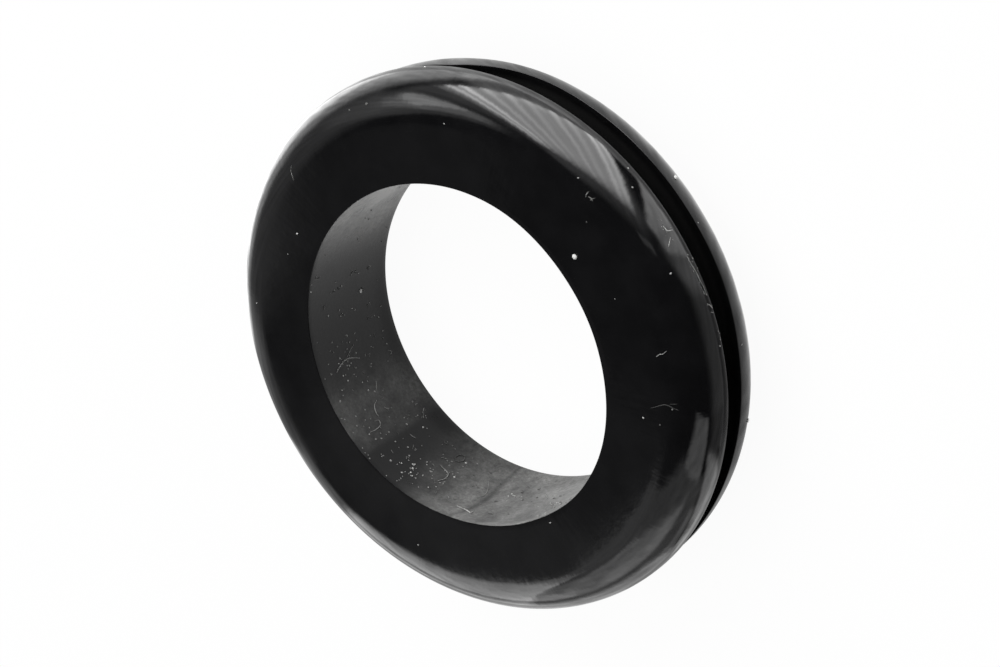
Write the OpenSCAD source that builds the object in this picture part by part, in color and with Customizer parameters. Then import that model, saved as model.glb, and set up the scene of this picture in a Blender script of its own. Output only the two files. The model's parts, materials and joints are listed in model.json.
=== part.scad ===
// Open rubber grommet: a soft ring that snaps into a round hole in a panel
// and keeps its edge off the cable or tube that passes through.
//
// The ring lies on its back flange, its axis is +Z, and the origin is at the
// centre of the face it rests on. All sizes are in millimetres.

/* [Bore] */
// Diameter of the hole that the cable or tube goes through
bore_d = 20; // [6:0.5:22]
// Rounding of the two edges of the bore
bore_edge_r = 0.1; // [0.05:0.05:0.4]

/* [Panel groove] */
// Diameter at the bottom of the groove, which is the hole in the panel
groove_d = 25; // [24:0.5:28]
// Width of the groove, which takes the thickness of the panel
groove_w = 1.8; // [0.8:0.1:4]
// Rounding in the two corners at the bottom of the groove
groove_root_r = 0.3; // [0.1:0.05:0.35]
// Rounding of the two lips where the groove opens
groove_lip_r = 0.1; // [0.05:0.01:0.15]

/* [Front flange] */
// Diameter of the flange on the side that is seen on the panel
front_d = 31.5; // [31:0.5:44]
// Thickness of the front flange
front_t = 2.7; // [2.7:0.1:5]
// Rounding from its face to its rim
front_round_r = 2.5; // [0.5:0.1:2.5]

/* [Back flange] */
// Diameter of the flange that is pushed through the hole in the panel
back_d = 31.1; // [31:0.1:44]
// Thickness of the back flange
back_t = 2.7; // [2.7:0.1:5]
// Rounding from its face to its rim
back_round_r = 2.5; // [0.5:0.1:2.5]

/* [Hidden] */
$fa = 1;
$fs = 0.05;
rubber_black = "#17181a";
bore_r = bore_d / 2;
groove_r = groove_d / 2;
front_r = front_d / 2;
back_r = back_d / 2;
total_t = back_t + groove_w + front_t;
front_z = back_t + groove_w;
// How far a cutting shape runs past the surface that it cuts
past = 1;

// What a round of radius r leaves over in a square corner at the origin,
// for a body that lies towards +X and +Y
module corner_waste(r) {
    difference() {
        translate([-past, -past])
            square(r + past);
        translate([r, r])
            circle(r);
    }
}

// The fillet of radius r in a hollow corner at the origin that opens
// towards +X and +Y
module corner_fillet(r) {
    difference() {
        square(r);
        translate([r, r])
            circle(r);
    }
}

// Half section of one flange of radius r and thickness t, resting on the
// X axis, with its face down: the rim rolls in from the lip to the face,
// and the edge of the bore is eased
module flange_section(r, t, round_r) {
    difference() {
        translate([bore_r, 0])
            square([r - bore_r, t]);
        translate([r, 0])
            mirror([1, 0])
                corner_waste(round_r);
        translate([r, t])
            rotate(180)
                corner_waste(groove_lip_r);
        translate([bore_r, 0])
            corner_waste(bore_edge_r);
    }
}

// Half section of the neck between the flanges, with the fillets that
// carry it into them
module neck_section() {
    translate([bore_r, back_t - bore_edge_r])
        square([groove_r - bore_r, groove_w + 2 * bore_edge_r]);
    translate([groove_r, back_t])
        corner_fillet(groove_root_r);
    translate([groove_r, front_z])
        mirror([0, 1])
            corner_fillet(groove_root_r);
}

// The moulded ring: one section turned about the axis of the bore
module grommet() {
    color(rubber_black)
        rotate_extrude() {
            flange_section(back_r, back_t, back_round_r);
            neck_section();
            translate([0, total_t])
                mirror([0, 1])
                    flange_section(front_r, front_t, front_round_r);
        }
}

grommet();
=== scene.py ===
# %% [markdown]
# # A rubber grommet
#
# A grommet is a soft ring that is pressed into a round hole in a panel. The
# groove round its outside grips the edge of the hole, so a cable or a tube
# that goes through the ring never rubs on the metal. This one is moulded in
# one piece from black rubber, and it lies flat on a table on its back flange.
#
# The ring is small and nearly black, so almost nothing of it shows by its own
# colour. What the eye reads is what the rubber mirrors in its rolled rims, the
# dull bore, and the dust that black rubber always collects. The lesson takes
# these in turn: the form, the rubber, the dust, the camera and the lights.

import json
import math
import random

import bmesh
import bpy
from mathutils import Matrix, Vector, noise


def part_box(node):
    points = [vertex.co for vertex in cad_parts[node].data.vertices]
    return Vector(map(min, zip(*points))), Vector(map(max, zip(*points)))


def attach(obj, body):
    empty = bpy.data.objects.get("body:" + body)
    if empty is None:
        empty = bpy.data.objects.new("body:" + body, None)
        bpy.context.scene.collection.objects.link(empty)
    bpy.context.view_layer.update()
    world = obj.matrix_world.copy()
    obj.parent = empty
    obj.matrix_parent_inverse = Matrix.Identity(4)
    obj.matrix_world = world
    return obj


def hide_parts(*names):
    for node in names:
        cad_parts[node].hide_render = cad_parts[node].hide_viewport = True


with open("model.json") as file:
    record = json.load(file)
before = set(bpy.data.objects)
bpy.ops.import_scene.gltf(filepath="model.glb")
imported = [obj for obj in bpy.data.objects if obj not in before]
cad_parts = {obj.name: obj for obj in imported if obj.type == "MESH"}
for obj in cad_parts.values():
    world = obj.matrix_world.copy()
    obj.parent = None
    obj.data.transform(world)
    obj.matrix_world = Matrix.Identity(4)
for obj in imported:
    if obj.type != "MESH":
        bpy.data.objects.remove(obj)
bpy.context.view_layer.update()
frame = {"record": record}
low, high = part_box("grommet")
print("the part measures", [round((high[i] - low[i]) * 1000, 2) for i in range(3)], "mm")

# %% [markdown]
# ## Sizes
#
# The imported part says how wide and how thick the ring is, and two of its
# mounts say how large the bore and the bottom of the groove are. Taking them
# from there keeps the scene and the part the same. Only the small sizes that
# no mount states are written here, in millimetres.

# %% Take the sizes from the part
MM = 0.001

mounts = {mount["name"]: mount for mount in frame["record"]["mounts"]}
bore_r = mounts["bore"]["dims"]["r_mm"]
groove_r = mounts["panel_groove"]["dims"]["r_mm"]
groove_w = mounts["panel_groove"]["dims"]["length_mm"]
front_r = (high[0] - low[0]) / 2 / MM
total_t = (high[2] - low[2]) / MM
print("bore", bore_r * 2, "mm, groove", groove_w, "mm wide, ring", round(front_r * 2, 2), "mm")

# %% Small sizes that no mount states
back_r = front_r - 0.2                           # the back flange is a little smaller
groove_low = (total_t - groove_w) / 2 - 0.1      # the groove lies just below the middle
groove_high = groove_low + groove_w
rim_round = 2.5                                  # each rim rolls over to its face in this radius
front_lip = 0.08                                 # the lip of the front flange is eased
back_lip = 0.02                                  # the lip of the back flange is sharp
root_round = 0.3                                 # the corners at the bottom of the groove
bore_edge = 0.05                                 # the edges of the bore are crisp
print("the groove runs from", round(groove_low, 2), "to", round(groove_high, 2), "mm above the table")

# %% [markdown]
# ## The outline of the ring
#
# A moulded ring is one closed outline turned about an axis. The outline is a
# walk round the half section: quarter arcs joined by straight runs. A lathe
# modifier could turn it too, but a list of points and one loop give rows of
# faces whose number is known, and dust can later be set down by the same walk.

# %% Arcs, and straight runs between them
def arc(centre, radius, start, end, steps):
    """Points on an arc between two angles in degrees, both ends included."""
    angles = [math.radians(start + (end - start) * i / steps) for i in range(steps + 1)]
    return [(centre[0] + radius * math.cos(a), centre[1] + radius * math.sin(a)) for a in angles]


def join(arcs, spacing):
    """One closed outline: the arcs, with points set between them at a spacing."""
    outline = []
    for i, part in enumerate(arcs):
        outline += part
        start, end = part[-1], arcs[(i + 1) % len(arcs)][0]
        steps = max(1, round(math.dist(start, end) / spacing))
        for k in range(1, steps):
            t = k / steps
            outline.append((start[0] + (end[0] - start[0]) * t, start[1] + (end[1] - start[1]) * t))
    return outline


# %% Walk round the half section
root_out = groove_r + root_round
section = join(
    [
        # from the top of the bore, out over the front face, and back below
        arc((bore_r + bore_edge, total_t - bore_edge), bore_edge, 180, 90, 4),
        arc((front_r - rim_round, total_t - rim_round), rim_round, 90, 0, 26),
        arc((front_r - front_lip, groove_high + front_lip), front_lip, 0, -90, 4),
        arc((root_out, groove_high - root_round), root_round, 90, 180, 4),
        arc((root_out, groove_low + root_round), root_round, 180, 270, 4),
        arc((back_r - back_lip, groove_low - back_lip), back_lip, 90, 0, 3),
        arc((back_r - rim_round, rim_round), rim_round, 0, -90, 24),
        arc((bore_r + bore_edge, bore_edge), bore_edge, -90, -180, 4),
    ],
    spacing=0.3,
)
print("the outline has", len(section), "points")

# %% [markdown]
# Every place on the rubber now has two numbers: an azimuth round the ring in
# degrees, and a walk in millimetres along the outline. Azimuth 0 is the side
# next to the camera, and it grows towards +X. The walk starts half way up the
# bore and goes out over the front face. Dust and lint are set down with these
# two numbers.

# %% Places on the rubber
walk_marks = [0.0]
for i in range(len(section)):
    walk_marks.append(walk_marks[-1] + math.dist(section[i], section[(i + 1) % len(section)]))
whole_walk = walk_marks[-1]
# the outline starts at the top of the bore, so half the bore comes before it
walk_start = total_t / 2 - bore_edge


def on_section(walk):
    """Radius, height and outward normal at a walk along the outline."""
    along = (walk - walk_start) % whole_walk
    k = 0
    while walk_marks[k + 1] < along:
        k += 1
    (r0, z0), (r1, z1) = section[k], section[(k + 1) % len(section)]
    length = walk_marks[k + 1] - walk_marks[k]
    t = (along - walk_marks[k]) / length
    return r0 + (r1 - r0) * t, z0 + (z1 - z0) * t, (-(z1 - z0) / length, (r1 - r0) / length)


def on_ring(azimuth, walk, lift=0.0):
    """A place on the rubber in millimetres, lifted off along its normal."""
    radius, height, (out, up) = on_section(walk)
    a = math.radians(azimuth)
    radius += out * lift
    return Vector((radius * math.sin(a), -radius * math.cos(a), height + up * lift))


print("one walk round the section is", round(whole_walk, 2), "mm")

# %% [markdown]
# ## The ring, with the two faults of a soft one
#
# A steel ring would be true all the way round, but a soft one is not. Its thin
# back flange has taken a set: in two places its lip stands up towards the front
# flange, once by a whole millimetre. And along some stretches the edges of the
# bore swell inwards by a sixth of a millimetre. Both are small changes to the
# outline that come and go smoothly with the azimuth, so the outline is asked
# for again at each step of the turn.

# %% How far the outline strays from true
def smooth(t):
    """A step from 0 to 1 with soft ends."""
    t = min(max(t, 0.0), 1.0)
    return t * t * (3 - 2 * t)


def curl(azimuth, radius, height):
    """How far the back flange stands up at a place, in millimetres."""
    if height > groove_low + root_round or radius < groove_r:
        return 0.0
    share = min(max((azimuth - 36) / 24, 0), 1) ** 2 * smooth((104 - azimuth) / 24)
    share += 0.2 * smooth((350 - azimuth) / 25) * smooth((azimuth - 250) / 20)
    reach = max(radius - groove_r - root_round, 0) / (back_r - groove_r - root_round)
    return 1.04 * share * reach ** 1.5 * (height / groove_low) ** 3


def swell(azimuth, radius, height):
    """How far an edge of the bore stands inwards at a place, in millimetres."""
    turned_on = (azimuth + 180) % 360 - 180
    front = smooth((azimuth - 198) / 34) * smooth((288 - azimuth) / 28)
    front += smooth((turned_on + 62) / 40) * smooth((38 - turned_on) / 40)
    back = smooth((azimuth - 125) / 70) * smooth((300 - azimuth) / 70)
    edge = front * smooth((height - total_t + 1.2) / 1.1) + back * smooth((1.2 - height) / 1.1)
    return 0.165 * edge * smooth((bore_r + 0.7 - radius) / 0.6)


def outline_at(azimuth):
    """The outline of the ring at one azimuth."""
    return [(r - swell(azimuth, r, z), z + curl(azimuth, r, z)) for r, z in section]


print("the lip stands up by", round(curl(66, back_r, groove_low), 2), "mm at most")


# %% Turn the outline about the bore
TURN_STEPS = 480


def link(name, mesh):
    """Puts a mesh into the scene, smoothly shaded, as a piece with this name."""
    mesh.polygons.foreach_set("use_smooth", [True] * len(mesh.polygons))
    piece = bpy.data.objects.new(name, mesh)
    bpy.context.collection.objects.link(piece)
    print(name, "has", len(mesh.polygons), "faces")
    return piece


def turned(name, steps):
    """The outline turned about Z into one closed ring."""
    count = len(section)
    verts, faces = [], []
    for i in range(steps):
        azimuth = 360 * i / steps
        a = math.radians(azimuth)
        verts += [(r * math.sin(a) * MM, -r * math.cos(a) * MM, z * MM) for r, z in outline_at(azimuth)]
    for i in range(steps):
        here, there = i * count, (i + 1) % steps * count
        for j in range(count):
            k = (j + 1) % count
            faces.append((here + k, here + j, there + j, there + k))
    mesh = bpy.data.meshes.new(name)
    mesh.from_pydata(verts, [], faces)
    return link(name, mesh)


ring = turned("moulded_ring", TURN_STEPS)
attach(ring, "root")
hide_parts("grommet")

# %% [markdown]
# ## Helpers for the finishes
#
# Colours are written as sRGB hex and turned to linear light by one function.
# One more function adds a node, sets it up and links it: an input may be a
# value, an output of another node, or a node, which stands for its first
# output. Every pattern is laid out in millimetres in the ring's own frame.
# What a pattern can't know, such as how deep in the groove a place lies, is
# worked out in Python and kept on the corners of the mesh for the finish.

# %% Colour and node helpers
def linear(hex_colour):
    """An sRGB hex colour as linear red, green, blue and alpha."""
    values = [int(hex_colour[i:i + 2], 16) / 255 for i in (1, 3, 5)]
    values = [v / 12.92 if v <= 0.04045 else ((v + 0.055) / 1.055) ** 2.4 for v in values]
    return (*values, 1.0)


def add_node(tree, kind, inputs=None, **settings):
    """Adds a node with its settings, and with its inputs as values or links."""
    node = tree.nodes.new(kind)
    for key, value in settings.items():
        setattr(node, key, value)
    for key, value in (inputs or {}).items():
        if isinstance(value, bpy.types.Node):
            value = value.outputs[0]
        if isinstance(value, bpy.types.NodeSocket):
            tree.links.new(value, node.inputs[key])
        else:
            node.inputs[key].default_value = value
    return node


def new_finish(name, **sockets):
    """A material, its tree, its shader with plain sockets set, and a place in mm."""
    finish = bpy.data.materials.new(name)
    finish.use_nodes = True
    tree = finish.node_tree
    shader = tree.nodes["Principled BSDF"]
    for key, value in sockets.items():
        shader.inputs[key.replace("_", " ")].default_value = value
    place = add_node(tree, "ShaderNodeTexCoord").outputs["Object"]
    in_mm = add_node(tree, "ShaderNodeVectorMath", {0: place, "Scale": 1 / MM}, operation="SCALE")
    return finish, tree, shader, in_mm


print("black rubber is", [round(v, 4) for v in linear("#0f0f10")[:3]], "in linear light")


# %% Numbers kept on a mesh
def place_of(corner):
    """The azimuth in degrees, and the radius and height in mm, of a corner of a mesh."""
    x, y, z = corner.co / MM
    return math.degrees(math.atan2(x, -y)) % 360, math.hypot(x, y), z


def keep_on(mesh, name, values):
    """Keeps one number for each corner on the mesh, where a finish can read it."""
    mesh.attributes.new(name, "FLOAT", "POINT").data.foreach_set("value", values)


print("the first corner of the ring is at", [round(v, 2) for v in place_of(ring.data.vertices[0])])

# %% [markdown]
# ## Glossy moulded rubber
#
# The skin is carbon-black nitrile rubber, moulded under pressure against
# It takes the polish of the steel, so it is nearly a mirror:
# roughness about 0.1, and the index 1.52 of soft rubber. The colour is a black
# of about one half per cent. But rubber shrinks as it cools, so the mirror is
# never quite flat. Waves 0.6 mm across bend the reflections a little, fine
# lines run from the bore to the rim where the rubber was pulled out of the
# mould, and pores 0.17 mm across take the sharpness off. Real pores are finer
# still, but finer ones would not show from this distance. The bottom of the
# groove is painted a shade greyer, as painted light that lifts its deep shade.

# %% Skin: colour and gloss
GLOSS = (0.07, 0.11)            # the least and the most roughness of the skin
PAINTED_LIGHT_R = 15.0                # the groove is painted paler out to this radius, as painted light
skin, tree, shader, in_mm = new_finish("glossy_moulded_rubber", IOR=1.52)
mottle = add_node(tree, "ShaderNodeTexNoise", {"Vector": in_mm, "Scale": 0.6, "Detail": 4.0})
share = add_node(tree, "ShaderNodeMapRange", {0: mottle, 1: 0.35, 2: 0.65})
black = add_node(
    tree, "ShaderNodeMix", {0: share, 6: linear("#0d0d0e"), 7: linear("#111112")}, data_type="RGBA"
)
dull = add_node(tree, "ShaderNodeMapRange", {0: mottle, 1: 0.3, 2: 0.7, 3: GLOSS[0], 4: GLOSS[1]})
# painted light: the bottom of the groove is painted a shade greyer to lift the shade there
painted_groove_light = add_node(tree, "ShaderNodeAttribute", attribute_name="painted_groove_light").outputs["Fac"]
groove_lifted = add_node(
    tree, "ShaderNodeMix", {0: painted_groove_light, 6: black.outputs[2], 7: linear("#202020")}, data_type="RGBA"
)
tree.links.new(groove_lifted.outputs[2], shader.inputs["Base Color"])
tree.links.new(dull.outputs[0], shader.inputs["Roughness"])
in_groove = []
for corner in ring.data.vertices:
    azimuth, radius, height = place_of(corner)
    deep = groove_r - 0.1 < radius < PAINTED_LIGHT_R and groove_low - 0.01 < height < groove_high + 0.01
    in_groove.append(1.0 if deep else 0.0)
keep_on(ring.data, "painted_groove_light", in_groove)
print("the skin goes from roughness", GLOSS[0], "to", GLOSS[1])

# %% Skin: waves, pull lines and pores
WAVE_MM = 0.6
PORE_MM = 0.17
peel = add_node(tree, "ShaderNodeTexNoise", {"Vector": in_mm, "Scale": 1 / WAVE_MM, "Detail": 2.0})
# the pull lines are noise that knows only the azimuth: a place moved out to the rim
axes = add_node(tree, "ShaderNodeSeparateXYZ", {0: in_mm})
level = add_node(tree, "ShaderNodeCombineXYZ", {0: axes.outputs[0], 1: axes.outputs[1]})
outward = add_node(tree, "ShaderNodeVectorMath", {0: level}, operation="NORMALIZE")
at_rim = add_node(tree, "ShaderNodeVectorMath", {0: outward, "Scale": front_r}, operation="SCALE")
pulls = add_node(tree, "ShaderNodeTexNoise", {"Vector": at_rim, "Scale": 1.25, "Detail": 3.0})
grain = add_node(tree, "ShaderNodeTexNoise", {"Vector": in_mm, "Scale": 1 / PORE_MM, "Detail": 3.0})
wave = add_node(tree, "ShaderNodeBump", {"Height": peel, "Distance": 0.006 * MM})
lines = add_node(tree, "ShaderNodeBump", {"Height": pulls, "Distance": 0.010 * MM, "Normal": wave})
pores = add_node(tree, "ShaderNodeBump", {"Height": grain, "Distance": 0.0012 * MM, "Normal": lines})
tree.links.new(pores.outputs[0], shader.inputs["Normal"])
print("waves", WAVE_MM, "mm, pores", PORE_MM, "mm")

# %% [markdown]
# ## Satin bore rubber
#
# The bore was formed by a steel core that was blasted and not polished, so it
# is satin: roughness about 0.3, and it mirrors nothing sharply. Wax that
# blooms out of the rubber and fine dust lie on it as a grey film, almost gone
# on the far side. At the left end, where the wall is seen at a grazing angle,
# the film is thick, and there it is partly real bloom and partly painted
# sheen. How much film a place has is worked out in Python and kept on the
# mesh as an attribute, because it is one design over the whole bore. The
# shader only breaks it up, in clouds 2 mm across and in powder 0.2 mm across.

# %% Bore: how much film lies where
def bell(value, middle, width):
    """A soft bump, 1 in the middle and near 0 two widths away."""
    return math.exp(-((value - middle) / width) ** 2)


def bore_film_and_sheen(azimuth, height):
    """The film cover at an azimuth and a height above the middle of the bore; painted sheen at the left end.
    """
    cover = 0.008 + 0.34 * bell(azimuth, 246, 33) + 0.10 * bell(azimuth, 179, 10)
    # thick next to the camera's left, ending rather suddenly: partly bloom, partly painted sheen
    cover += 0.8 * smooth((azimuth - 25) / 55) * (1 - smooth((azimuth - 98 + height) / 31))
    cover += 0.12 * bell(azimuth, 263, 9) * smooth((height + 2) / 4)
    # a stain with one sharp side, as liquid leaves where it dried
    stain = smooth((azimuth - 190) / 3) * smooth((212 - azimuth + 1.2 * height) / 12)
    cover *= 1 - 0.9 * stain
    # the mark of a finger nail that wanders up the wall
    scratch = 229.2 + 1.3 * math.sin(0.9 * height + 0.9)
    cover *= 1 - (0.45 + 0.25 * bell(height, 0.5, 2.5)) * bell(azimuth, scratch, 1.1)
    return cover


# %% Bore: keep the film on the mesh
films_and_sheen = []
for corner in ring.data.vertices:
    azimuth, radius, height = place_of(corner)
    in_bore = radius < bore_r + bore_edge
    films_and_sheen.append(bore_film_and_sheen(azimuth, height - total_t / 2) if in_bore else 0.0)
keep_on(ring.data, "film_and_sheen", films_and_sheen)
print("the film covers up to", round(max(films_and_sheen), 2), "of the bore")

# %% Bore: the satin finish
CLOUD_MM = 2.0
POWDER_MM = 0.2
bore_skin, tree, shader, in_mm = new_finish("satin_bore_rubber", IOR=1.5, Specular_IOR_Level=0.2)
film_and_sheen = add_node(tree, "ShaderNodeAttribute", attribute_name="film_and_sheen").outputs["Fac"]
cloud = add_node(
    tree, "ShaderNodeTexNoise", {"Vector": in_mm, "Scale": 1 / CLOUD_MM, "Detail": 5.0, "Roughness": 0.65}
)
powder = add_node(
    tree, "ShaderNodeTexNoise", {"Vector": in_mm, "Scale": 1 / POWDER_MM, "Detail": 4.0, "Roughness": 0.75}
)
patchy = add_node(tree, "ShaderNodeMapRange", {0: cloud, 1: 0.33, 2: 0.67, 3: 0.35, 4: 1.6})
dusty = add_node(tree, "ShaderNodeMapRange", {0: powder, 1: 0.3, 2: 0.75, 3: 0.6, 4: 1.6})
cover = add_node(tree, "ShaderNodeMath", {0: film_and_sheen, 1: patchy}, operation="MULTIPLY")
cover = add_node(tree, "ShaderNodeMath", {0: cover, 1: dusty}, operation="MULTIPLY")
# the grey film of bloom and dust, with painted sheen where the left end is seen at a grazing angle
bloom_and_sheen = add_node(
    tree, "ShaderNodeMix", {0: cover, 6: linear("#0d0d0e"), 7: linear("#b5b5b3")}, data_type="RGBA"
)
satin = add_node(tree, "ShaderNodeMapRange", {0: cloud, 1: 0.3, 2: 0.7, 3: 0.27, 4: 0.38})
blasted = add_node(tree, "ShaderNodeBump", {"Height": powder, "Distance": 0.008 * MM})
tree.links.new(bloom_and_sheen.outputs[2], shader.inputs["Base Color"])
tree.links.new(satin.outputs[0], shader.inputs["Roughness"])
tree.links.new(blasted.outputs[0], shader.inputs["Normal"])
print("film in clouds of", CLOUD_MM, "mm and powder of", POWDER_MM, "mm")

# %% Give the skin to the ring and the satin to its bore
ring.data.materials.append(skin)
ring.data.materials.append(bore_skin)
for face in ring.data.polygons:
    x, y, z = face.center / MM
    # the wall of the bore, up to where its edge turns over to the flat face
    face.material_index = 1 if math.hypot(x, y) < bore_r + 0.1 and abs(face.normal.z) < 0.7 else 0
print(sum(face.material_index for face in ring.data.polygons), "faces are satin")

# %% [markdown]
# ## Dust
#
# Rubber draws dust out of the air and never lets go of it. On this ring there
# are flakes of skin and cardboard 0.05 to 0.3 mm wide: one large flake on the
# face, a few small ones, and swarms in the bore. A particle system would
# spread them evenly, which dust never does, so the flakes that catch the eye
# are set down one by one and the swarms are drawn round chosen places.
#
# The finish is that of any house dust: no gloss, and a grey that changes from
# flake to flake. Flakes thinner than paper let the black rubber show through,
# so each flake gets its own paleness, kept on the mesh, from a dark grey to
# nearly white. Patches 0.5 mm across break it up on the larger ones.

# %% Dust finish
FLAKE_MM = 0.5
dust_finish, tree, shader, in_mm = new_finish("grey_dust", Roughness=0.95, Specular_IOR_Level=0.2)
pale = add_node(tree, "ShaderNodeAttribute", attribute_name="pale").outputs["Fac"]
shade = add_node(tree, "ShaderNodeTexNoise", {"Vector": in_mm, "Scale": 1 / FLAKE_MM, "Detail": 2.0})
uneven = add_node(tree, "ShaderNodeMapRange", {0: shade, 1: 0.35, 2: 0.65, 3: 0.7, 4: 1.15})
share = add_node(tree, "ShaderNodeMath", {0: pale, 1: uneven}, operation="MULTIPLY")
grey = add_node(
    tree, "ShaderNodeMix", {0: share, 6: linear("#383837"), 7: linear("#f2f2f0")}, data_type="RGBA"
)
tree.links.new(grey.outputs[2], shader.inputs["Base Color"])
print("the dust is grey, in patches of", FLAKE_MM, "mm")

# %% Where the flakes lie
FLAKES = [
    # azimuth, walk, radius, paleness: on the face and the front rim
    (6.3, 4.86, 0.17, 1.0), (116.2, 5.20, 0.06, 0.6), (352.2, 9.26, 0.055, 0.5), (320.5, 5.82, 0.065, 0.6),
    (79.2, 8.23, 0.075, 0.12), (74.1, 8.27, 0.085, 0.15), (52.4, 7.17, 0.06, 0.4), (141.8, 7.34, 0.05, 0.4),
    (269.0, 3.92, 0.05, 0.4), (218.9, 6.18, 0.055, 0.4), (351.9, 5.73, 0.04, 0.3), (10.0, 10.05, 0.05, 0.5),
    (13.5, 10.70, 0.05, 0.5), (18.3, 8.23, 0.05, 0.3), (123.9, 5.37, 0.04, 0.4), (324.3, 7.56, 0.05, 0.2),
    (320.0, 6.86, 0.06, 0.1), (10.5, 6.90, 0.05, 0.05), (63.2, 10.70, 0.07, 0.9),
    # on the rim of the back flange
    (7.5, 19.66, 0.16, 1.0), (314.5, 19.86, 0.11, 1.0), (357.8, 19.00, 0.05, 0.5), (332.2, 19.02, 0.05, 0.4),
    # in the bore
    (142.5, -1.20, 0.10, 0.8), (154.5, -2.46, 0.06, 0.4), (186.6, 2.22, 0.05, 0.5), (194.2, -1.54, 0.06, 0.8),
    (205.0, 1.86, 0.06, 0.9), (203.4, 1.13, 0.06, 0.8), (215.2, -0.04, 0.07, 1.0), (213.2, -1.66, 0.08, 0.8),
    (235.6, -0.72, 0.08, 1.0), (240.0, -0.60, 0.06, 0.8), (231.1, 3.30, 0.05, 0.6), (259.0, 0.45, 0.06, 0.9),
    (213.0, 1.96, 0.05, 0.6), (189.8, -1.83, 0.05, 0.5), (197.2, 0.51, 0.05, 0.5), (237.0, 0.10, 0.05, 0.6),
    (261.2, 2.10, 0.06, 0.9), (204.2, 1.50, 0.06, 0.8), (206.3, 2.00, 0.05, 0.9), (182.0, 1.85, 0.04, 0.4),
]
SWARMS = [
    # azimuth, walk, spread in degrees, spread in mm, how many, size of one, paleness
    (204.5, 1.7, 2.4, 0.55, 24, 0.034, 0.45), (213, 0.6, 5, 1.1, 34, 0.036, 0.26),
    (187, 1.6, 8, 1.2, 36, 0.036, 0.3), (163, 1.3, 7, 1.4, 40, 0.035, 0.30),
    (238, -0.6, 3, 0.4, 10, 0.042, 0.5), (259, 0.8, 4, 0.9, 16, 0.042, 0.5),
    (200, -1.5, 18, 1.2, 34, 0.036, 0.2), (148, -0.5, 14, 2.2, 34, 0.033, 0.36),
    (120, 1.0, 12, 1.8, 12, 0.032, 0.36),
    # the front rim, where fingers hold the ring
    (1, 10.2, 3.0, 0.25, 12, 0.026, 0.2), (349, 10.74, 3.6, 0.12, 26, 0.028, 0.14),
    (338, 10.9, 2.0, 0.06, 6, 0.03, 0.2),
]
print(len(FLAKES), "flakes and", len(SWARMS), "swarms")

# %% Lay the flakes on the rubber
BORE_END = 3.4          # a swarm in the bore ends here on the walk, to either side
RIM_END = 11.0          # and one on the front rim ends here
rng = random.Random(7)


def add_flake(bm, azimuth, walk, radius, pale):
    """A crumpled lump, flattened on to the rubber and sunk in a little."""
    lump = bmesh.ops.create_icosphere(bm, subdivisions=2 if radius > 0.1 else 1, radius=radius * MM)
    middle = on_ring(azimuth, walk, radius * 0.2) * MM
    normal = (on_ring(azimuth, walk, 1.0) - on_ring(azimuth, walk)).normalized()
    spin = Matrix.Rotation(rng.uniform(0, math.pi), 3, "Z")
    turn = normal.to_track_quat("Z", "Y").to_matrix() @ spin
    stretch = Vector((rng.uniform(0.8, 1.5), rng.uniform(0.7, 1.1), rng.uniform(0.4, 0.7)))
    for v in lump["verts"]:
        corner = v.co * rng.uniform(0.85, 1.15)
        v.co = middle + turn @ Vector([corner[i] * stretch[i] for i in range(3)])
    return [pale] * len(lump["verts"])


bm = bmesh.new()
pales = []
for flake in FLAKES:
    pales += add_flake(bm, *flake)
for azimuth, walk, spread_a, spread_w, count, size, pale in SWARMS:
    edge = BORE_END if walk < BORE_END else RIM_END
    for _ in range(count):
        w = min(max(rng.gauss(walk, spread_w), -edge), edge)
        radius = size * math.exp(min(abs(rng.gauss(0, 0.4)), 0.6))
        pales += add_flake(bm, rng.gauss(azimuth, spread_a), w, radius, pale * rng.uniform(0.5, 1.5))
dust_mesh = bpy.data.meshes.new("dust_flakes")
bm.to_mesh(dust_mesh)
bm.free()
dust = link("dust_flakes", dust_mesh)
dust_mesh.materials.append(dust_finish)
keep_on(dust_mesh, "pale", pales)
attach(dust, "root")

# %% [markdown]
# ## Lint
#
# Lint is fibre from cloth and paper, 0.02 to 0.08 mm thick and curled. Each
# fibre that shows is a smooth line through a few chosen places, and short
# ones are strewn between them in the bore. A curve object with a bevel would
# do too, but tubes built by hand taper at both ends as torn fibres do.

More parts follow.
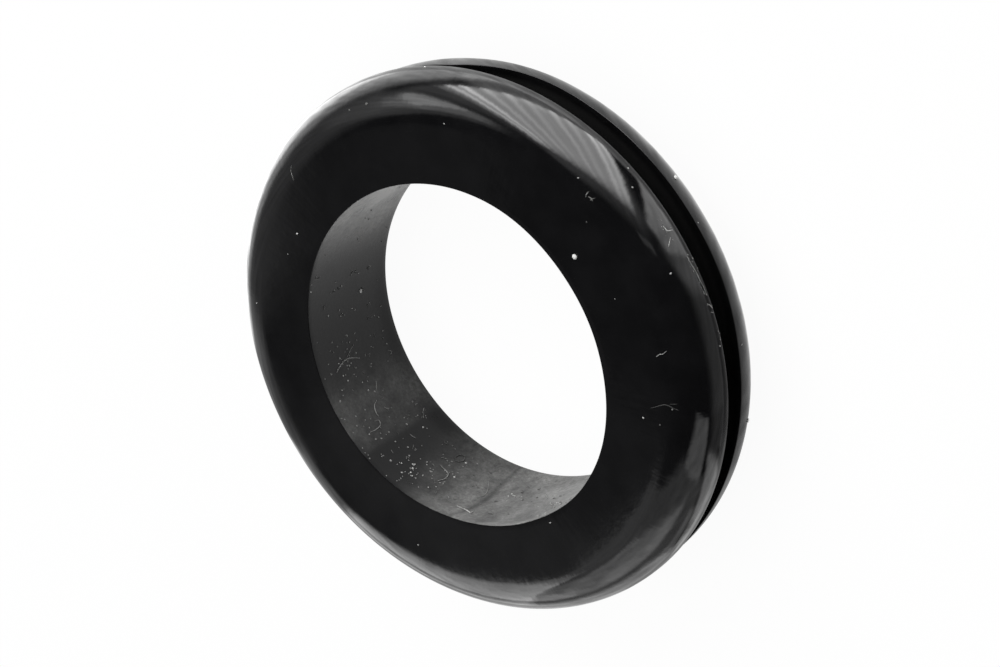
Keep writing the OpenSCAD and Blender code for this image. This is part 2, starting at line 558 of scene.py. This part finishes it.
# %% Where the fibres lie
FIBRES = [
    # half thickness, paleness, then places as azimuth and walk: on the face and the front rim
    (0.018, 0.4, [(336.5, 7.06), (337.1, 7.30), (337.0, 7.44), (337.6, 7.70)]),
    (0.010, 0.15, [(323.6, 6.30), (325.2, 7.13), (324.6, 7.62), (324.2, 7.88)]),
    (0.008, 0.1, [(325.5, 7.42), (325.6, 7.84)]),
    (0.018, 0.4, [(14.8, 8.12), (14.7, 7.94), (14.4, 7.80)]),
    (0.020, 0.3, [(14.1, 7.92), (13.5, 7.98), (12.8, 7.94)]),
    (0.014, 0.3, [(12.9, 8.14), (13.3, 7.96), (13.2, 7.86)]),
    (0.022, 0.6, [(360.7, 10.20), (359.6, 10.26), (359.2, 10.60)]),
    (0.014, 0.8, [(358.2, 10.22), (356.9, 9.83)]),
    (0.014, 0.5, [(353.5, 10.62), (351.8, 10.66), (349.5, 10.78), (348.0, 10.74)]),
    (0.012, 0.4, [(350.0, 10.70), (347.5, 10.82), (345.2, 10.88)]),
    (0.016, 0.6, [(343.8, 10.66), (343.2, 10.85), (342.4, 10.98)]),
    (0.012, 0.5, [(342.0, 10.72), (341.6, 10.95)]),
    (0.015, 0.3, [(101.9, 7.56), (102.9, 7.42), (103.3, 7.22), (103.9, 6.94)]),
    # in the bore
    (0.038, 0.30, [(163.7, 2.22), (162.0, 1.60), (161.6, 1.10), (162.2, 0.60), (163.5, 0.06)]),
    (0.022, 0.18, [(161.0, 1.00), (159.6, 0.60), (158.4, 0.20)]),
    (0.034, 0.3, [(172.9, -0.45), (174.0, -0.32), (175.3, -0.17)]),
    (0.032, 0.28, [(178.4, 0.24), (179.6, 0.64), (182.0, 0.82), (183.2, 0.80)]),
    (0.028, 0.28, [(186.2, 2.10), (186.5, 1.60), (186.0, 1.10), (184.4, 0.96), (183.9, 1.30)]),
    (0.024, 0.3, [(188.8, -2.62), (189.8, -2.32), (191.6, -2.05)]),
    (0.034, 0.35, [(213.0, 1.05), (213.8, 0.55), (212.8, 0.02), (209.0, -0.16)]),
    (0.034, 0.1, [
        (209.2, -1.45), (210.6, -1.30), (211.9, -1.62), (210.9, -2.05), (209.4, -1.90), (209.2, -1.5),
    ]),
    (0.016, 0.2, [(127.6, 3.05), (128.6, 3.12), (129.2, 2.88), (128.4, 2.74)]),
    (0.036, 0.7, [(225.8, 2.20), (229.4, 2.24), (231.6, 2.36), (232.0, 2.10)]),
    (0.026, 0.35, [(227.6, 0.75), (228.6, 0.20), (227.0, -0.50), (224.4, -1.20)]),
    (0.028, 0.6, [(247.4, -1.10), (248.8, -0.90), (250.4, -0.60)]),
    (0.028, 0.6, [(254.6, 0.10), (256.4, 0.50), (258.6, 0.82)]),
]
for _ in range(46):
    # short hairs, each with a bend in the middle
    azimuth, walk = rng.uniform(132, 262), rng.uniform(-2.6, 3.1)
    thick = rng.uniform(0.014, 0.024)
    places = [(azimuth, walk)]
    for _ in range(2):
        places.append((places[-1][0] + rng.uniform(-1.4, 1.4), places[-1][1] + rng.uniform(-0.22, 0.22)))
    FIBRES.append((thick, rng.uniform(0.1, 0.3), places))
print(len(FIBRES), "fibres")

# %% A smooth line for a fibre
STEP_MM = 0.06


def bend(p, q, r, s, t):
    """A number on the way from q to r, bent by its neighbours p and s."""
    square = 2 * p - 5 * q + 4 * r - s
    cube = 3 * q - p - 3 * r + s
    return 0.5 * (2 * q + (r - p) * t + square * t ** 2 + cube * t ** 3)


def curve_through(places):
    """A smooth line of places on the rubber, close enough for a curled fibre."""
    line = []
    for i in range(len(places) - 1):
        a, b = places[i], places[i + 1]
        before = places[i - 1] if i else (2 * a[0] - b[0], 2 * a[1] - b[1])
        after = places[i + 2] if i + 2 < len(places) else (2 * b[0] - a[0], 2 * b[1] - a[1])
        count = max(2, round((on_ring(*b) - on_ring(*a)).length / STEP_MM))
        for k in range(count):
            line.append([bend(*four, k / count) for four in zip(before, a, b, after)])
    return line + [places[-1]]


print("the first fibre is drawn through", len(curve_through(FIBRES[0][2])), "places")

# %% Draw each fibre as a tapered tube
SIDES = 5
verts, faces, pales = [], [], []
for thick, pale, places in FIBRES:
    path = [on_ring(azimuth, walk, thick * 0.8) for azimuth, walk in curve_through(places)]
    last = len(path) - 1
    base = len(verts)
    for i, middle in enumerate(path):
        ahead = (path[min(i + 1, last)] - path[max(i - 1, 0)]).normalized()
        side = ahead.orthogonal().normalized()
        across = ahead.cross(side)
        width = thick * (0.3 + 0.7 * math.sin(math.pi * min(max(i / last, 0.1), 0.9)))
        for k in range(SIDES):
            a = 2 * math.pi * k / SIDES
            verts.append((middle + (side * math.cos(a) + across * math.sin(a)) * width) * MM)
            pales.append(pale)
    for i in range(last):
        here, there = base + i * SIDES, base + (i + 1) * SIDES
        for k in range(SIDES):
            n = (k + 1) % SIDES
            faces.append((here + k, here + n, there + n, there + k))
    faces.append(tuple(base + k for k in reversed(range(SIDES))))
    faces.append(tuple(base + last * SIDES + k for k in range(SIDES)))
lint_mesh = bpy.data.meshes.new("lint_fibres")
lint_mesh.from_pydata(verts, [], faces)
lint = link("lint_fibres", lint_mesh)
lint_mesh.materials.append(dust_finish)
keep_on(lint_mesh, "pale", pales)
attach(lint, "root")

# %% [markdown]
# ## Camera
#
# The ring is seen from 170 mm away with a long lens, as close-ups of small
# parts are. The camera looks down on the table at nearly half a right angle,
# and it is turned far over on its own axis, so that the ring seems to stand on
# edge. The numbers were found by turning the circles of the bore and the rims
# until their ellipses had the right width, slant and place.

# %% Camera
TILT = 47.5             # degrees above the table
ROLL = -121.46          # degrees about the camera's own axis
DISTANCE = 170.7        # from the middle of the ring, in mm
LENS = 111.5            # focal length in mm
SHIFT = (0.0087, 0.0022)        # the ring sits a little off the middle, in widths of the frame

centre = Vector((0, 0, (low[2] + high[2]) / 2))
away = Vector((0, -math.cos(math.radians(TILT)), math.sin(math.radians(TILT))))
look = (-away).to_track_quat("-Z", "Y").to_matrix() @ Matrix.Rotation(math.radians(ROLL), 3, "Z")
camera_data = bpy.data.cameras.new("camera")
camera_data.lens = LENS
camera_data.sensor_width = 36
camera_data.clip_start = 0.005
camera_data.clip_end = 10
camera_data.shift_x, camera_data.shift_y = SHIFT
camera = bpy.data.objects.new("camera", camera_data)
bpy.context.collection.objects.link(camera)
camera.rotation_mode = "QUATERNION"
camera.rotation_quaternion = look.to_quaternion()
camera.location = centre + away * DISTANCE * MM
bpy.context.scene.camera = camera
print("the camera stands", [round(v / MM) for v in camera.location], "mm from the origin")

# %% [markdown]
# ## Table
#
# The table is matt white paper. A paper lit until it is pure white would throw
# far too much light on the ring, so only the camera and the mirror images see
# the paper glow, and the light that falls on the ring is that of plain paper.
# A share of the matt paper stays in sight, so the ring keeps its soft shadow.

# %% Table
half = 1.2              # half its side, in metres
paper_mesh = bpy.data.meshes.new("table")
corners = [(-half, -half, 0), (half, -half, 0), (half, half, 0), (-half, half, 0)]
paper_mesh.from_pydata(corners, [], [(0, 1, 2, 3)])
table = link("table", paper_mesh)

paper = bpy.data.materials.new("white_paper")
paper.use_nodes = True
tree = paper.node_tree
tree.nodes.clear()
ray = add_node(tree, "ShaderNodeLightPath").outputs
seen = add_node(
    tree, "ShaderNodeMath", {0: ray["Is Camera Ray"], 1: ray["Is Glossy Ray"]}, operation="MAXIMUM"
)
seen = add_node(tree, "ShaderNodeMath", {0: seen, 1: ray["Is Transmission Ray"]}, operation="MAXIMUM")
share = add_node(tree, "ShaderNodeMath", {0: seen, 1: 0.95}, operation="MULTIPLY")
matt = add_node(tree, "ShaderNodeBsdfDiffuse", {"Color": linear("#f4f4f4")})
glow = add_node(tree, "ShaderNodeEmission", {"Color": linear("#ffffff"), "Strength": 1.0})
mix = add_node(tree, "ShaderNodeMixShader", {0: share, 1: matt, 2: glow})
add_node(tree, "ShaderNodeOutputMaterial", {"Surface": mix})
paper_mesh.materials.append(paper)
print("the table is", 2 * half, "m square")

# %% [markdown]
# ## Lamps
#
# Three large soft lamps give the matt surfaces their light: one high above and
# a little behind, one on the right that reaches across into the left end of the
# bore, and one low in front, which the dust under the overhang of the front
# flange needs. They are hidden from the mirror images, because what the rubber
# mirrors is drawn by itself in the next step.

# %% Lamps
def direction(azimuth, elevation):
    """A unit vector. Azimuth 0 is the side of the camera, 90 is +X."""
    a, e = math.radians(azimuth), math.radians(elevation)
    return Vector((math.sin(a) * math.cos(e), -math.cos(a) * math.cos(e), math.sin(e)))


def soft_lamp(name, azimuth, elevation, distance, side, radiance):
    """A square lamp that faces the ring. Radiance 1 is as bright as white paper."""
    data = bpy.data.lights.new(name, "AREA")
    data.shape = "SQUARE"
    data.size = side * MM
    # a flat lamp of P watts sends P / (pi * area) towards every side
    data.energy = radiance * math.pi * (side * MM) ** 2
    lamp = bpy.data.objects.new(name, data)
    bpy.context.collection.objects.link(lamp)
    towards = direction(azimuth, elevation)
    lamp.location = centre + towards * distance * MM
    lamp.rotation_mode = "QUATERNION"
    lamp.rotation_quaternion = towards.to_track_quat("Z", "Y")
    lamp.visible_camera = False
    lamp.visible_glossy = False
    print(name, "gives", round(data.energy, 3), "W")


soft_lamp("top_lamp", 180, 80, 500, 500, 2.6)
soft_lamp("side_lamp", 75, 35, 500, 400, 4.0)
soft_lamp("low_lamp", 0, 6, 500, 240, 6.5)

# %% [markdown]
# ## The tent
#
# A shiny black thing is best shown in a tent of white cloth, and what it then
# shows is nothing but the tent: a bank of lamps behind cloth, a window, folds,
# and the lit paper near the ring. Here the tent is a low wall all round, with a
# skirt that runs inward on the table. It is painted reflection: it glows only
# for mirror images, so it lights nothing and it is never seen itself.
#
# What glows where is a design on the unrolled wall, in millimetres: across it
# is the way round from the camera's side, and up it is the height, where
# numbers below 0 count the way inward on the table. Patches of cloth are
# outlines with soft edges. An emission texture could hold this too, but values
# on the mesh need no picture file.

# %% A patch of cloth with soft edges
def inside(point, corners, soft):
    """How far a point is inside a convex outline. Each edge can have its own softness."""
    share = 1.0
    for i, (x0, y0) in enumerate(corners):
        x1, y1 = corners[(i + 1) % len(corners)]
        depth = ((x1 - x0) * (y0 - point[1]) - (x0 - point[0]) * (y1 - y0)) / math.dist((x0, y0), (x1, y1))
        edge = soft[i] if isinstance(soft, tuple) else soft
        share *= smooth(0.5 + depth / edge)
        if share == 0:
            return 0.0
    return share


print("on its edge a patch has", inside((0, 5), [(0, 0), (0, 9), (9, 9), (9, 0)], 2), "of its light")

# %% The bank of tube lamps behind cloth
# corners go clockwise: left, top, right, bottom
BANK = [(2.6, 7.7), (14.9, 16.1), (24.2, 6.5), (9.0, -0.6)]
BANK_SOFT = (2.2, 2.0, 0.8, 0.8)
CLOTH = 4.0
TUBES = [
    # place across the bank, brightness, half width
    (0.04, 7.2, 0.028), (0.115, 8.3, 0.026), (0.25, 5.7, 0.030), (0.355, 6.4, 0.026), (0.43, 4.5, 0.020),
    (0.51, 5.7, 0.032), (0.62, 6.4, 0.028), (0.745, 6.4, 0.028), (0.87, 10.0, 0.026), (0.955, 8.5, 0.024),
]


def from_edge(point, start, end):
    """How far a point is from the line through two corners."""
    (x0, y0), (x1, y1) = start, end
    return abs((x1 - x0) * (y0 - point[1]) - (x0 - point[0]) * (y1 - y0)) / math.dist(start, end)


def bank_glow(point):
    """The light of the tubes and the cloth before them."""
    share = inside(point, BANK, BANK_SOFT)
    if share <= 0:
        return 0.0
    left, right = from_edge(point, BANK[3], BANK[0]), from_edge(point, BANK[1], BANK[2])
    foot, head = from_edge(point, BANK[2], BANK[3]), from_edge(point, BANK[0], BANK[1])
    across, up = left / (left + right), foot / (foot + head)
    tubes = 0.0
    for place, bright, width in TUBES:
        lean = place + 0.012 * noise.noise((place * 30, up * 3, 0))
        tubes += (bright - CLOTH) * bell(across, lean, width)
    glow = CLOTH * (0.78 + 0.12 * up) + tubes * (1.05 - 0.55 * up)
    # the top of the bank is shaded, and each tube reaches a little below its cloth
    glow *= 0.62 + 0.38 * smooth((1.0 - up) / 0.25)
    return share * glow * smooth(0.35 + 0.24 * tubes + foot / 1.6)


print("the middle of the bank glows with", round(bank_glow((13, 8)), 2))

# %% The other patches of the tent
PATCHES = [
    # corners clockwise from the left foot, softness, brightness
    # the halo of the bank, and its foot
    ([(0.5, 8), (12, 20), (29, 8), (10, -1)], (5.0, 4.5, 2.0, 2.0), 0.5),
    ([(3, -1.5), (8, 1), (20, 6), (24, 2), (24, -1.5)], 1.5, 0.45),
    ([(12, -1.5), (14, 3), (20, 6), (24, 2), (24, -1.5)], 2.0, 0.4),
    # the fold on the right of the bank
    ([(-6.5, -0.9), (-5.0, 5.2), (-1, 6.8), (0, -0.9)], (2.4, 2.5, 1.2, 1.0), 0.6),
    ([(-3, -1.1), (-2, 5.4), (1.2, 6.8), (5, -1.1)], (0.8, 1.6, 0.8, 0.8), 1.35),
    ([(0, -1.5), (0, 6), (1.2, 6.4), (4.8, 0)], 0.6, 0.9),
    ([(-20, -0.8), (-20, 4.4), (-3, 4.8), (-3, -0.8)], (1.0, 3.0, 2.0, 0.8), 0.3),
    ([(-1.4, 9.4), (0.1, 11.7), (1.1, 11.1), (-0.4, 8.9)], 0.6, 0.5),
    # the lamp on the left of the bank, and its halo on the cloth
    ([(23.4, 15.2), (25, 16), (30.2, 15.6), (28.9, 9.2), (26.6, 10)], 1.5, 1.9),
    ([(21.3, 18), (24, 22), (31.5, 18.5), (32.6, 12), (28.5, 8.8), (23, 14.2)], 2.8, 0.95),
    ([(19.5, 18), (24, 27), (38, 22), (38, 10), (29, 8.2)], 5.0, 0.35),
    ([(30, 6), (30, 19), (56, 18), (62, 6)], (4.0, 9.0, 4.0, 4.0), 0.28),
    # the low strip of lit cloth on the left
    ([(20, -0.5), (24.5, 5.2), (33, 7), (48, 7.8), (58, 5.2), (58, -0.5)], 2.5, 1.05),
    ([(21, -0.5), (25, 4.5), (40, 5.5), (56, 4.4), (56, -0.5)], 1.4, 0.72),
    ([(31, -1), (36, 4), (40, 5), (52, 5), (50, -1)], 2.0, 1.4),
    ([(54, -1.5), (54, 7), (60, 14), (67, 12), (67, -1.5)], (2.0, 5.0, 6.0, 2.0, 2.0), 0.34),
    ([(64, 8), (64, 22), (84, 28), (84, 8)], (4.0, 6.0, 6.0, 3.0), 0.09),
    # the broad window on the far side
    ([(71.2, 4.6), (71.2, 10.6), (83, 19.8), (87, 18), (87, 4.6)], (1.6, 3.0, 1.0, 0.8, 0.8), 0.9),
    ([(71.2, 7.2), (71.2, 10.0), (83, 17.6), (87, 15), (87, 7.2)], (2.0, 4.0, 3.0, 0.8, 0.8), 1.55),
    ([(66, 5.5), (66, 10.4), (73, 10.4), (73, 5.5)], 2.5, 0.6),
    ([(86.5, 7.2), (86.5, 13), (94, 19), (105, 10), (108, 7.4)], (1.0, 3.0, 3.5, 2.5, 1.4), 0.75),
    ([(87, 7.2), (87, 10), (91, 9.5), (91, 7.2)], 0.9, 0.6),
    ([(94, 8), (94, 11), (103.5, 10.5), (103.5, 8)], 2.0, 0.4),
    ([(85.2, 4), (81.2, 35), (88, 35), (109.5, 13), (109.5, 4)], (1.6, 6.0, 3.0, 1.4, 2.0), 0.43),
    # the cloth under it, down to the table
    ([(65, -0.3), (65, 5.5), (99, 5.8), (102, -0.3)], (1.2, 1.5, 1.2, 0.6), 0.58),
    ([(82, 0.2), (82, 4.8), (100, 4.8), (100, 0.2)], (8.0, 1.2, 2.4, 1.0), 0.36),
    ([(99, 1.7), (99, 4.2), (106, 4.8), (106, 3.4)], (2.4, 1.0, 1.6, 0.9), 0.5),
    # the small window on the far right, and the lit strip under it
    ([(109.2, 5.8), (109.2, 12.4), (115.4, 9.5), (115.4, 5.8)], (1.2, 1.6, 1.0, 1.0), 0.95),
    ([(111, -0.8), (111.5, 4.6), (120, 4.6), (120, -0.8)], (1.0, 2.0, 1.0, 0.8), 0.2),
    ([(99, -2.4), (101, 1.6), (105.6, 3.2), (112, 4.8), (112, 4.2), (109.0, -2.4)], 1.3, 0.7),
    ([(103, -1), (104, 2.6), (105.6, 3.2), (112, 4.8), (112, 4.2), (109, -1)], 1.4, 0.5),
]
print(len(PATCHES), "patches")

# %% The lit paper near the ring
# painted reflection of the paper next to the ring, with its light and its shade
PAPER_R = (14.7, 17, 19.3)
PAPER = [
    # azimuth, then the brightness at each of these radii
    (-105, 0.4, 0.45, 0.45), (-83, 0.3, 0.4, 0.6), (-67, 0.3, 0.65, 0.45), (-49, 0.4, 0.4, 0.12),
    (-33, 0.9, 0.45, 0.1), (-16, 1.2, 0.5, 0.15), (0, 1.5, 0.7, 0.5), (16, 1.3, 0.7, 0.6),
    (33, 0.85, 0.85, 0.8), (50, 0.4, 0.9, 1.0), (67, 0.6, 0.8, 0.9), (80, 0.8, 0.6, 0.8),
    (96, 1.2, 1.1, 1.15), (110, 1.3, 1.4, 1.5), (130, 0.55, 0.55, 0.55), (225, 0.4, 0.42, 0.36),
    (243, 0.75, 0.95, 0.95), (255, 0.45, 0.55, 0.6),
]


def between(value, stops):
    """Numbers between two stops, each a value and then its numbers."""
    for (start, *first), (end, *second) in zip(stops, stops[1:]):
        if value <= end:
            t = min(max((value - start) / (end - start), 0), 1)
            return [p + (q - p) * t for p, q in zip(first, second)]
    return stops[-1][1:]


def paper_glow(azimuth, radius):
    """How brightly the paper glows at an azimuth and a radius."""
    first = PAPER[0][0]
    at_radii = between((azimuth - first) % 360 + first, PAPER)
    (glow,) = between(radius, list(zip(PAPER_R, at_radii)))
    return glow


print("towards the camera the paper glows with", round(paper_glow(0, 18), 2))

# %% All the light of the tent
WALL_R = 21.0
WALL_TOP = 40.0
SKIRT_R = 12.5
SKIRT_LIFT = 0.02       # how far the skirt lies above the table
SEAM = -16.4            # where the unrolled wall begins
FAR_GLOW = 0.07         # the glow of the cloth high up on the far side


def tent_glow(point):
    """The glow at a place on the unrolled wall, or on its skirt below 0."""
    across, up = point
    dim = 1 + 0.35 * noise.noise((across * 0.9 + up * 0.7, up * 0.35 - across * 0.1, 3.0))
    dim += 0.2 * noise.noise((across * 2.5 + up * 1.9, up * 0.8, 9.0))
    haze = smooth((up - 13) / 6) * smooth((across - 44) / 8) * smooth((96 - across) / 8)
    glow = FAR_GLOW * haze + bank_glow(point)
    for corners, soft, bright in PATCHES:
        glow += bright * inside(point, corners, soft) * dim
    if up < 0:
        glow += paper_glow(math.degrees(across / WALL_R), WALL_R + up) * dim * smooth(-up / 0.6)
    return max(glow, 0.0)


def spread(start, end, step):
    """Evenly spaced stops from a start up to, but without, an end."""
    count = round((end - start) / step)
    return [start + (end - start) * i / count for i in range(count)]


# %% Build the wall and its skirt
whole_turn = 2 * math.pi * WALL_R
# the bank of tubes has the finest pattern, and so the finest faces
columns = spread(SEAM, 2.0, 0.4) + spread(2.0, 24.4, 0.15) + spread(24.4, SEAM + whole_turn, 0.4)
rows = spread(SKIRT_R - WALL_R, 0.0, 0.25) + spread(0.0, 20.0, 0.2) + spread(20.0, WALL_TOP, 0.5) + [WALL_TOP]
verts, faces, glows = [], [], []
for across in columns:
    a = across / WALL_R
    for up in rows:
        r = WALL_R + min(up, 0.0)
        verts.append((r * math.sin(a) * MM, -r * math.cos(a) * MM, (max(up, 0.0) + SKIRT_LIFT) * MM))
        glows.append(tent_glow((across, up)))
n = len(rows)
for i in range(len(columns)):
    k = (i + 1) % len(columns)
    for j in range(n - 1):
        faces.append((i * n + j, k * n + j, k * n + j + 1, i * n + j + 1))
tent_mesh = bpy.data.meshes.new("tent_wall")
tent_mesh.from_pydata(verts, [], faces)
keep_on(tent_mesh, "glow", glows)
tent = link("tent_wall", tent_mesh)
for kind in ("camera", "diffuse", "transmission", "shadow", "volume_scatter"):
    setattr(tent, "visible_" + kind, False)

# %% Let the cloth glow
cloth = bpy.data.materials.new("tent_cloth")
cloth.use_nodes = True
cloth.cycles.emission_sampling = "NONE"
tree = cloth.node_tree
tree.nodes.clear()
glow = add_node(tree, "ShaderNodeAttribute", attribute_name="glow").outputs["Fac"]
light = add_node(tree, "ShaderNodeEmission", {"Color": linear("#ffffff"), "Strength": glow})
add_node(tree, "ShaderNodeOutputMaterial", {"Surface": light})
tent_mesh.materials.append(cloth)
print("the brightest cloth glows with", round(max(glows), 1))

# %% [markdown]
# ## The room
#
# Above the tent the room is dark, which is what keeps the rubber black. Only
# its far wall catches a little light. The flat face of the ring mirrors that
# wall, so it is a shade paler than the start of the rim.

# %% World and view
ROOM = (0.008, 0.024)           # the light of the dark room, and of its far wall
world = bpy.data.worlds.new("dark_room")
bpy.context.scene.world = world
world.use_nodes = True
tree = world.node_tree
room = tree.nodes["Background"]
room.inputs["Color"].default_value = linear("#ffffff")
towards = add_node(tree, "ShaderNodeTexCoord").outputs["Generated"]
far_wall = add_node(
    tree, "ShaderNodeVectorMath", {0: towards, 1: direction(180, TILT)}, operation="DOT_PRODUCT"
)
# brightest within 8 degrees of the middle of the far wall, and dark 25 degrees off
level = add_node(
    tree, "ShaderNodeMapRange", {0: far_wall.outputs["Value"], 1: 0.906, 2: 0.99, 3: ROOM[0], 4: ROOM[1]}
)
tree.links.new(level.outputs[0], room.inputs["Strength"])
bpy.context.scene.view_settings.view_transform = "Standard"
print("the room glows with", ROOM[0], "and its far wall with", ROOM[1])
